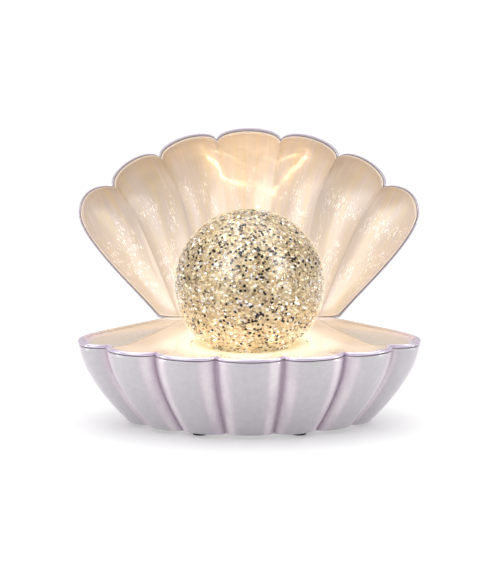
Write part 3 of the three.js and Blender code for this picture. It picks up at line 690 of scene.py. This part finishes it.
looks = {
    "lavender": lavender_pearl(),
    "cream": cream_pearl(),
    "deck": deck_pearl(),
    "glass": clear_glass(),
    "cloud": glitter_cloud(),
    "foil": glitter_foil(),
    "ring": frosted_ring(),
    "white": moulded("white_plastic", (0.78, 0.76, 0.74), 0.45),
    "dark": moulded("black_plastic", (0.035, 0.036, 0.04), 0.42, 0.15),
    "rubber": moulded("black_rubber", (0.022, 0.021, 0.023), 0.78, 0.2),
    "silicone": moulded("silicone", (0.66, 0.67, 0.66), 0.5),
    "steel": metal("plated_steel", (0.66, 0.66, 0.68), 0.28),
    "magnet": metal("nickel_magnet", (0.30, 0.30, 0.33), 0.35),
    "can": metal("motor_can", (0.60, 0.60, 0.61), 0.34),
    "clear": see_through("clear_plastic", (0.90, 0.92, 0.92), 0.12, 0.45),
    "board": board_green(),
    "cell": cell_wrap(),
    "led": warm_bulb(),
    "lead": moulded("lead_sleeve", (0.42, 0.03, 0.03), 0.45, 0.1),
}

NODE_LOOKS = {
    "steel": ["lower_hinge_leaf", "upper_hinge_leaf", "hinge_pin", "impeller_pin", "motor_shaft",
              "contact_spring_1", "contact_spring_2", "contact_spring_3",
              "contact_plate_left", "contact_plate_right"],
    "white": ["base_plate", "battery_cover", "motor_bracket", "magnet_holder"],
    "rubber": ["foot_1", "foot_2", "foot_3", "foot_4", "globe_gasket"],
    "dark": ["power_switch_body", "power_switch_slider"],
    "silicone": ["globe_plug"],
    "clear": ["globe_collar", "impeller"],
    "ring": ["light_ring"],
    "magnet": ["impeller_magnet", "drive_magnet"],
    "can": ["motor"],
    "board": ["led_board", "control_board"],
    "cell": ["battery_1", "battery_2", "battery_3"],
    "led": ["led_1", "led_2", "led_3", "led_4"],
    "lead": ["battery_lead", "motor_lead", "led_lead"],
}

for look, names in NODE_LOOKS.items():
    for name in names:
        dress(frame["nodes"][name], looks[look])
for name, node in frame["nodes"].items():
    if "screw" in name:
        dress(node, looks["steel"])

# ---- Upper shell and its liner --------------------------------------------------------------------

DISH_FLUTE = 3.6
LINER_DEPTH = 30.8
EDGE_Y, EDGE_Z = -0.6, -0.3  # the shell's edge, from the pivot
NOTCH_LIFT = 1.7  # the notches are this much shallower than in the CAD part
SIDE_BAND, FOOT_BAND = 1.3, 0.8  # how far the liner is drawn in at the sides and at the hinge edge
FOOT_DROP, FOOT_CORNER = 2.9, 1.8  # the hinge edge lies lower than in the CAD part, its corners more so
DISH_ROWS = eased(38)


def shrunk(flat, scale):
    return MIDDLE + scale * (flat - MIDDLE)


def from_leaning(points):
    """From the upper shell's own frame, upright at the pivot, to the row frame."""
    x, y, z = points[..., 0], points[..., 1], points[..., 2]
    turned_y = y * math.cos(LEAN) + z * math.sin(LEAN)
    turned_z = -y * math.sin(LEAN) + z * math.cos(LEAN)
    return np.stack([x, turned_y, turned_z], axis=-1) + PIVOT


def drawn_in(rows, share, gap):
    """Points of the fan: share 0 follows the skin's edge, 1 the liner's, and gap draws them in evenly."""
    flat = meridians(rows[0], DISH_ROWS, UPPER_HALF) * (1 - share)
    flat += meridians(rows[1], DISH_ROWS, UPPER_HALF - SIDE_BAND) * share
    out = flat - MIDDLE
    flat -= gap * out / np.maximum(np.linalg.norm(out, axis=-1, keepdims=True), 1e-6)
    across = np.abs(rows[0][:, None, :1]) / UPPER_HALF
    foot = FOOT_BAND * share - FOOT_DROP - FOOT_CORNER * across**CORNER_POWER
    return flat + [0, 1] * (DISH_ROWS[None, :, None] ** 6 * foot)


def dish_surface(rows, share, gap, depth, least):
    """One surface of the dish. least keeps its border behind the lip."""
    flat = drawn_in(rows, share, gap)
    hollow = hollow_of(rows[0], DISH_ROWS, UPPER_HALF)
    near = smooth((DISH_ROWS[None, :] - 0.02) / 0.40) * np.minimum(1, 1.6 * hollow)
    flute = DISH_FLUTE * (fluting(rows[0], DISH_ROWS) - 0.5) * near
    back = np.maximum(depth * hollow + flute, least)
    return np.stack([flat[..., 0], EDGE_Y + back, flat[..., 1] + EDGE_Z], axis=-1)


def dish_lip(rows, share, gap, forward):
    """One ring of the lip between the outer and the inner surface."""
    flat = drawn_in(rows, share, gap).reshape(-1, 2)
    flat = flat[edge_loop(len(rows[0]), len(DISH_ROWS))]
    return np.stack([flat[:, 0], np.full(len(flat), EDGE_Y + forward), flat[:, 1] + EDGE_Z], axis=-1)


def tag_grid(thing, rows, alongs, widest, extra):
    """The flute, across and along values that the materials read."""
    shape = (len(rows), len(alongs))
    flute = np.broadcast_to(rows[:, 3:4], shape).ravel()
    across = np.broadcast_to(rows[:, :1] / widest, shape).ravel()
    along = np.broadcast_to(alongs[None, :], shape).ravel()
    loop = edge_loop(*shape)
    for name, values in (("flute", flute), ("across", across), ("along", along)):
        whole = np.concatenate([values, values, *[values[loop]] * extra])
        attribute(thing, name, whole)


def build_dish():
    """The skin and the liner of the upper shell. A surface is share, gap, depth and least, and a ring of
    the lip is share, gap and how far forward it lies. Returns the liner."""
    rows = (front_rows(UPPER_HALF, lift=NOTCH_LIFT), front_rows(UPPER_HALF - SIDE_BAND, slim=1.0))
    size = (len(rows[0]), len(DISH_ROWS))

    def layer(name, outer, inner, lips):
        points = [dish_surface(rows, *outer), dish_surface(rows, *inner)]
        rings = [dish_lip(rows, *lip) for lip in lips]
        parts = [from_leaning(p) for p in (*points, *rings)]
        thing = two_sided(name, parts[0], parts[1], parts[2:], size)
        tag_grid(thing, rows[0], DISH_ROWS, UPPER_HALF, len(lips))
        lip = np.zeros(len(thing.data.vertices))
        lip[2 * size[0] * size[1]:] = 1
        attribute(thing, "lip", lip)
        cut_with(thing, hinge_cutter())
        return thing

    skin = layer("upper_shell_skin", (0, 0, 36.0, 1.3), (1, 0, 33.8, 0.9), [
        (0, 0.03, 0.7), (0.03, 0.03, 0.3), (0.2, 0, 0.04), (0.5, 0, 0), (0.8, 0, 0.05), (0.97, 0, 0.35),
    ])
    liner = layer("upper_shell_lining", (1, 0.3, 32.7, 1.6), (1, 1.9, LINER_DEPTH, 0.9), [
        (1, 0.32, 0.8), (1, 0.4, 0.35), (1, 0.7, 0.15), (1, 1.1, 0.15), (1, 1.6, 0.4),
    ])
    for thing, look, node, slot in (
        (skin, "lavender", "upper_shell", "lavender_pearl"),
        (liner, "cream", "upper_shell_liner", "cream_pearl"),
    ):
        dress(thing, looks[look])
        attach(thing, "upper_shell_body")
        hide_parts(node)
    return liner


liner = build_dish()

# ---- Lower shell ----------------------------------------------------------------------------------

SIDE_ROWS = eased(24)
WALL_DRAW, WALL_CURVE = 0.29, 1.6  # how far the wall draws in at the foot, and how late
WALL_SHARE = 0.03  # wall thickness as a share of the outline


def level(flat, z):
    """Points of the fan at a height; reach runs towards the front."""
    height = np.broadcast_to(np.asarray(z, float), flat.shape[:-1])
    return np.stack([flat[..., 0], HINGE_Y - flat[..., 1], height], axis=-1)


def build_lower():
    """The base: one closed profile of scale and height, swept round the fan's outline."""
    rows = front_rows(LOWER_HALF)
    grid = meridians(rows, SIDE_ROWS, LOWER_HALF)
    loop = edge_loop(len(rows), len(SIDE_ROWS))
    outline = grid.reshape(-1, 2)[loop]
    flute = np.broadcast_to(rows[:, 3:4], grid.shape[:2]).ravel()[loop].copy()
    plain = slice(len(rows), None)  # the sides and the rear have no flutes
    flute[plain] = 0.8 * smooth((WIDEST_REACH - outline[plain, 1]) / 14)

    def wall(z):
        return 1 - WALL_DRAW * ((RIM_Z - z) / (RIM_Z - FLOOR_GAP)) ** WALL_CURVE

    outer = [(wall(z), z) for z in np.linspace(RIM_Z - 0.6, 6.0, 22)]
    inner = [(wall(z) - WALL_SHARE, z) for z in np.linspace(9.0, RIM_Z - 1.0, 12)]
    profile = [
        (0.984, RIM_Z), (0.990, RIM_Z), (0.9955, RIM_Z - 0.12), (0.999, RIM_Z - 0.35),
        *outer,
        (0.7285, 4.4), (0.722, 3.3), (0.713, 2.5), (0.702, 2.08), (0.694, FLOOR_GAP), (0.688, FLOOR_GAP),
        (0.685, 2.2), (0.685, 5.9), (0.655, 5.9), (0.655, 7.6), (0.70, 7.9),
        *inner,
        (0.970, RIM_Z - 0.3), (0.974, RIM_Z),
    ]
    points = np.vstack([level(shrunk(outline, scale), z) for scale, z in profile])
    count = len(outline)
    loops = [k * count + np.arange(count) for k in range(len(profile))]
    thing = make_mesh("lower_shell_skin", points, join_loops([*loops, loops[0]]))
    attribute(thing, "flute", np.tile(flute, len(profile)))
    dress(thing, looks["lavender"])
    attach(thing, "base")
    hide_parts("lower_shell")


build_lower()

# ---- Deck with its rim bead -----------------------------------------------------------------------

DECK_FALL, DECK_FLUTE, DECK_THICK = 3.7, 1.7, 2.0
DECK_HOLE = 39.3
BEAD_FOOT = 0.37  # above the rim: the gap under the bead shows as the dark parting line
DECK_ROWS = eased(34)


def build_deck():
    """The deck with its hole for the globe. The bead is lower at the rear than at the front."""
    rows = front_rows(LOWER_HALF)
    size = (len(rows), len(DECK_ROWS))
    flat = meridians(rows, DECK_ROWS, LOWER_HALF)
    hollow = hollow_of(rows, DECK_ROWS, LOWER_HALF)
    waves = DECK_FLUTE * (fluting(rows, DECK_ROWS) - 0.5) * np.minimum(1, 1.6 * hollow)
    fall = DECK_FALL * hollow**0.8 + waves
    inside = shrunk(flat, 0.962)
    rise = 0.75 + 0.45 * smooth((flat[..., 1] - 20) / 45)
    top = level(inside, RIM_Z + rise - fall)
    under = level(inside, RIM_Z + 1.2 - DECK_THICK - np.maximum(fall, -0.4))
    loop = edge_loop(*size)
    outline = flat.reshape(-1, 2)[loop]
    bead = [
        (0.9635, 1.5), (0.966, 1.95), (0.970, 2.35), (0.976, 2.62), (0.983, 2.70), (0.990, 2.62),
        (0.996, 2.38), (1.001, 1.98), (1.0038, 1.5), (1.0045, 1.1), (1.003, 0.75), (0.999, 0.52),
        (0.994, 0.42), (0.988, 0.37), (0.962, 0.37), (0.957, -0.2),
    ]
    front = 0.45 + 0.55 * smooth((outline[:, 1] - 20) / 45)
    rings = [
        level(shrunk(outline, scale), RIM_Z + BEAD_FOOT + (top_of - BEAD_FOOT) * front)
        for scale, top_of in bead
    ]
    thing = two_sided("deck_pan", top, under, rings, size)
    tag_grid(thing, rows, DECK_ROWS, LOWER_HALF, len(bead))
    near_edge = smooth(1 - hollow.ravel() / 0.24)
    near_edge *= np.clip((flat[..., 1].ravel() - 35) / 35, 0.1, 1)
    rim = np.concatenate([near_edge, near_edge, np.tile(near_edge[loop], len(rings))])
    attribute(thing, "rim", rim)
    bpy.ops.mesh.primitive_cylinder_add(vertices=128, radius=DECK_HOLE * MM, depth=40 * MM)
    hole = bpy.context.object
    hole.matrix_world = Matrix.Translation(Vector((0, GLOBE[1], RIM_Z)) * MM)
    cut_with(thing, hole, hinge_cutter())
    dress(thing, looks["deck"])
    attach(thing, "base")
    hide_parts("shell_deck")
    return thing


deck = build_deck()

# ---- Globe and its glitter ------------------------------------------------------------------------

WALL = 0.5  # thinner than the real wall, because the glitter seems to reach the outside of the glass
NECK = 21.0


def ball(radius, foot, steps):
    """Profile of a ball from its top pole down to where its radius is foot."""
    end = math.asin(foot / radius)
    angles = (math.pi - end) * np.arange(steps + 1) / steps
    return [(max(0.0, radius * math.sin(a)), GLOBE[2] + radius * math.cos(a)) for a in angles]


def build_globe():
    inside, neck_inside = GLOBE_RADIUS - WALL, NECK - WALL
    profile = [
        *ball(GLOBE_RADIUS, NECK, 56), (NECK, NECK_LOW + 0.4), (NECK - 0.4, NECK_LOW),
        (neck_inside + 0.4, NECK_LOW), (neck_inside, NECK_LOW + 0.4),
        *ball(inside, neck_inside, 52)[::-1],
    ]
    glass = turned("globe_glass", profile, 112, GLOBE[:2])
    dress(glass, looks["glass"])
    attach(glass, "base")
    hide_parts("globe")

    deep = GLOBE_RADIUS - 4.2
    cloud = turned("glitter_liquid", [
        *ball(deep, 17.4, 44), (17.4, 47.0), (16.2, 46.9), (16.0, 55.6), (0, 55.6),
    ], 96, GLOBE[:2])
    dress(cloud, looks["cloud"])
    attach(cloud, "base")
    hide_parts("globe_fluid")


FLAKES = 10000
NECK_SHARE = -0.86  # no flakes below this height on the unit ball, where the neck is
FLAKE_HALF = 0.07  # half of a flake's thickness


def build_flakes():
    """Thin six-sided foil flakes, drifting in the outer layer of the liquid, as one mesh."""
    spots = rng.normal(size=(FLAKES * 2, 3))
    spots /= np.linalg.norm(spots, axis=1, keepdims=True)
    spots = spots[spots[:, 2] > NECK_SHARE][:FLAKES]
    count = len(spots)
    tone = rng.random(count)
    drift = np.sin(spots[:, 0] * 5 + 1) + np.sin(spots[:, 2] * 6 + spots[:, 1] * 3) + spots[:, 2]
    dark = rng.random(count) < np.clip(0.09 + 0.06 * drift, 0.015, 0.28)
    sunk = np.where(dark, 0.1 * rng.random(count), 0.3 + 2.2 * rng.random(count) ** 1.3)
    depth = GLOBE_RADIUS - WALL - 0.35 - sunk
    centre = GLOBE + spots * depth[:, None]
    facing = spots + rng.normal(size=(count, 3)) * np.where(dark, 0.12, 0.34)[:, None]
    facing /= np.linalg.norm(facing, axis=1, keepdims=True)
    side = np.cross(facing, rng.normal(scale=0.35, size=(count, 3)) + [0, 0, 1])
    side /= np.linalg.norm(side, axis=1, keepdims=True)
    up = np.cross(facing, side)
    tone = np.where(dark, 0.0, 0.08 + 0.92 * tone)
    width = np.where(dark, rng.uniform(0.85, 1.1, count), rng.uniform(0.6, 1.3, count))
    height = width * np.where(dark, 0.95, rng.uniform(0.5, 0.75, count))
    angles = np.pi / 3 * np.arange(6)
    ring = (
        np.cos(angles)[None, :, None] * (side * width[:, None])[:, None]
        + np.sin(angles)[None, :, None] * (up * height[:, None])[:, None]
    )
    points = np.concatenate([
        centre[:, None] + ring,
        (centre + facing * FLAKE_HALF)[:, None],
        (centre - facing * FLAKE_HALF)[:, None],
    ], axis=1)
    pattern = [[i, (i + 1) % 6, 6] for i in range(6)] + [[(i + 1) % 6, i, 7] for i in range(6)]
    faces = (np.array(pattern)[None] + 8 * np.arange(count)[:, None, None]).reshape(-1, 3)
    mesh = bpy.data.meshes.new("glitter_flakes")
    mesh.from_pydata((points.reshape(-1, 3) * MM).tolist(), [], faces.tolist())
    flakes = bpy.data.objects.new("glitter_flakes", mesh)
    bpy.context.scene.collection.objects.link(flakes)
    attribute(flakes, "tone", np.repeat(tone, 8))
    dress(flakes, looks["foil"])
    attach(flakes, "base")


build_globe()
build_flakes()

# ---- Floor, light and camera ----------------------------------------------------------------------


def build_floor():
    paint = Paint("studio_floor")
    grain = paint.noise(paint.place(), 3, 2)
    paint.shader(
        Base_Color=paint.mix(grain, (0.68, 0.68, 0.685), (0.69, 0.69, 0.692)),
        Roughness=0.9,
        Specular_IOR_Level=0.1,
        Emission_Color=(1.0, 1.0, 1.0, 1.0),
        Emission_Strength=0.34,
    )
    bpy.ops.mesh.primitive_circle_add(vertices=96, radius=9, fill_type="NGON")
    floor = bpy.context.object
    floor.name = "studio_floor"
    dress(floor, paint.material)
    floor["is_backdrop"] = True


def aimed(name, data, aim, bearing, height, distance):
    """Adds a lamp or camera that looks at aim. bearing 0 is the front, positive to the right."""
    turn, rise = math.radians(bearing), math.radians(height)
    out = Vector((math.sin(turn) * math.cos(rise), -math.cos(turn) * math.cos(rise), math.sin(rise)))
    thing = bpy.data.objects.new(name, data)
    thing.location = aim + out * distance
    thing.rotation_mode = "QUATERNION"
    thing.rotation_quaternion = out.to_track_quat("Z", "Y")
    bpy.context.scene.collection.objects.link(thing)
    return thing


def softbox(name, bearing, height, distance, size, power):
    """A rectangular light aimed at the globe."""
    data = bpy.data.lights.new(name, "AREA")
    data.shape = "RECTANGLE"
    data.size, data.size_y = size
    data.energy = power
    return aimed(name, data, Vector(GLOBE * MM), bearing, height, distance)


def light_only(lamps, things):
    """Lets lamps light these things and nothing else."""
    group = bpy.data.collections.new("lit_by_" + lamps[0].name)
    for thing in things:
        group.objects.link(thing)
    for lamp in lamps:
        lamp.light_linking.receiver_collection = group


def build_lights():
    world = bpy.data.worlds.new("studio")
    bpy.context.scene.world = world
    world.use_nodes = True
    paint = Paint("", world.node_tree)
    path = paint.node("LightPath").outputs
    mirrored = paint.math("MULTIPLY", path["Is Glossy Ray"], 0.35)
    seen = paint.math("MAXIMUM", path["Is Camera Ray"], mirrored)
    background = world.node_tree.nodes["Background"]
    background.inputs[0].default_value = (1, 1, 1, 1)
    paint.feed(background, "Strength", paint.ramp(seen, 0.0, 1.0, 0.32, 1.0))
    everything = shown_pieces()
    shell_names = ("upper_shell_skin", "lower_shell_skin", "deck_pan")
    shells = [thing for thing in everything if thing.name in shell_names]
    glass = [thing for thing in everything if thing.name == "globe_glass"]
    light_only([
        softbox("key_left", -40, 33, 2.0, (1.3, 1.8), 17),
        softbox("key_right", 55, 36, 2.0, (1.0, 1.6), 9),
    ], everything)
    light_only([softbox("fill_left", -68, 20, 2.0, (0.8, 1.2), 3.5)], [liner])
    light_only([
        softbox("strip_left", -80, 4, 1.5, (0.16, 0.8), 11),
        softbox("strip_right", 80, 4, 1.5, (0.16, 0.8), 10),
    ], shells)
    light_only([
        softbox("window_left", -41, 34, 2.0, (0.8, 1.0), 16),
        softbox("window_right", 58, 36, 2.0, (0.8, 0.9), 16),
    ], glass)
    data = bpy.data.lights.new("ceiling", "SUN")
    data.energy = 2.75
    data.angle = math.radians(75)
    lamp = bpy.data.objects.new("ceiling", data)
    lamp.rotation_euler = (math.radians(-7), 0, 0)
    bpy.context.scene.collection.objects.link(lamp)


# Bright lines on the liner: x across and reach from the hinge of both ends, and how bright.
CAUSTICS = [
    ((-33, 122), (-27, 115), 1.5), ((-27, 115), (-16, 101), 3.2), ((-16, 101), (-3, 99), 2.6),
    ((-3, 99), (5, 97), 0.9), ((9, 94), (18, 92), 1.1), ((18, 92), (26, 101), 1.9),
    ((26, 101), (39, 115), 2.6), ((39, 115), (42, 121), 1.5), ((19, 110), (34, 118), 1.2),
    ((-34, 121), (-20, 117), 1.2), ((-20, 117), (-8, 112), 0.6), ((-54, 116), (-34, 119), 0.6),
]


def way_to(x, reach):
    """The direction from the globe's centre to a spot on the liner."""
    outline = front_rows(UPPER_HALF)
    flat = meridians(outline, DISH_ROWS, UPPER_HALF)
    away = np.linalg.norm(flat - (x, reach), axis=-1)
    row, along = np.unravel_index(np.argmin(away), away.shape)
    depth = LINER_DEPTH * hollow_of(outline, DISH_ROWS, UPPER_HALF)[row, along]
    spot = from_leaning(np.array([x, EDGE_Y + depth, reach + EDGE_Z]))
    return Vector(spot - GLOBE).normalized()


def vector_math(paint, operation, first, second):
    made = paint.node("VectorMath", {"operation": operation})
    for socket, value in zip(made.inputs, (first, second)):
        if isinstance(value, bpy.types.NodeSocket):
            paint.tree.links.new(value, socket)
        else:
            socket.default_value = value
    return made


def line_of_light(paint, way, start, end, power):
    """A soft bright line between two directions."""
    one, two = way_to(*start), way_to(*end)
    span = two - one
    from_start = vector_math(paint, "SUBTRACT", way, one).outputs[0]
    dot = vector_math(paint, "DOT_PRODUCT", from_start, span / span.length_squared).outputs["Value"]
    share = paint.math("MAXIMUM", paint.math("MINIMUM", dot, 1.0), 0.0)
    nearest = paint.node("VectorMath", {"operation": "SCALE"})
    nearest.inputs[0].default_value = span
    paint.feed(nearest, "Scale", share)
    gap = vector_math(paint, "DISTANCE", from_start, nearest.outputs[0]).outputs["Value"]
    core = paint.ramp(gap, 0.0, 0.015, power * 0.38, 0.0)
    return paint.math("ADD", core, paint.ramp(gap, 0.0, 0.06, power * 0.06, 0.0))


def globe_light():
    """The warm light that leaves the globe, with the bright lines that its liquid throws."""
    data = bpy.data.lights.new("globe_light", "POINT")
    data.energy = 1.5
    data.color = (1.0, 0.80, 0.52)
    data.shadow_soft_size = 0
    data.use_shadow = False
    data.use_nodes = True
    paint = Paint("", data.node_tree)
    way = paint.node("TexCoord").outputs["Normal"]
    warp = paint.node("TexNoise", Vector=way, Scale=9.0, Detail=2.0).outputs["Color"]
    pull = vector_math(paint, "SUBTRACT", warp, (0.5, 0.5, 0.5)).outputs[0]
    shift = vector_math(paint, "MULTIPLY", pull, (0.09,) * 3).outputs[0]
    bent = vector_math(paint, "ADD", way, shift).outputs[0]
    lines = 0.04  # the even light that the lines add to
    for start, end, power in CAUSTICS:
        lines = paint.math("ADD", lines, line_of_light(paint, bent, start, end, power))
    middle = vector_math(paint, "DISTANCE", way, way_to(2, 112)).outputs["Value"]
    glow = paint.ramp(middle, 0.08, 0.45, 0.22, 0.0)
    edge = paint.cells(bent, 26, "DISTANCE_TO_EDGE").outputs["Distance"]
    threads = paint.ramp(edge, 0.0, 0.09, 1.0, 0.0)
    net = paint.math("MULTIPLY", threads, paint.ramp(middle, 0.05, 0.3, 0.35, 0.0))
    emission = data.node_tree.nodes["Emission"]
    paint.feed(emission, "Strength", paint.math("ADD", lines, paint.math("ADD", glow, net)))
    lamp = bpy.data.objects.new("globe_light", data)
    lamp.location = Vector(GLOBE * MM)
    lamp.visible_glossy = False
    bpy.context.scene.collection.objects.link(lamp)
    light_only([lamp], (liner, deck))


def build_camera():
    """A long lens from the front, a little above."""
    data = bpy.data.cameras.new("camera")
    data.lens = 215.8
    data.sensor_width = 36
    data.clip_start, data.clip_end = 0.05, 40
    aim = Vector(GLOBE * MM) + Vector((0.0004, 0, 0.0016))
    bpy.context.scene.camera = aimed("camera", data, aim, -0.2, 11.9, 2.2)


build_floor()
build_lights()
globe_light()
build_camera()
bpy.context.scene.view_settings.view_transform = "Standard"
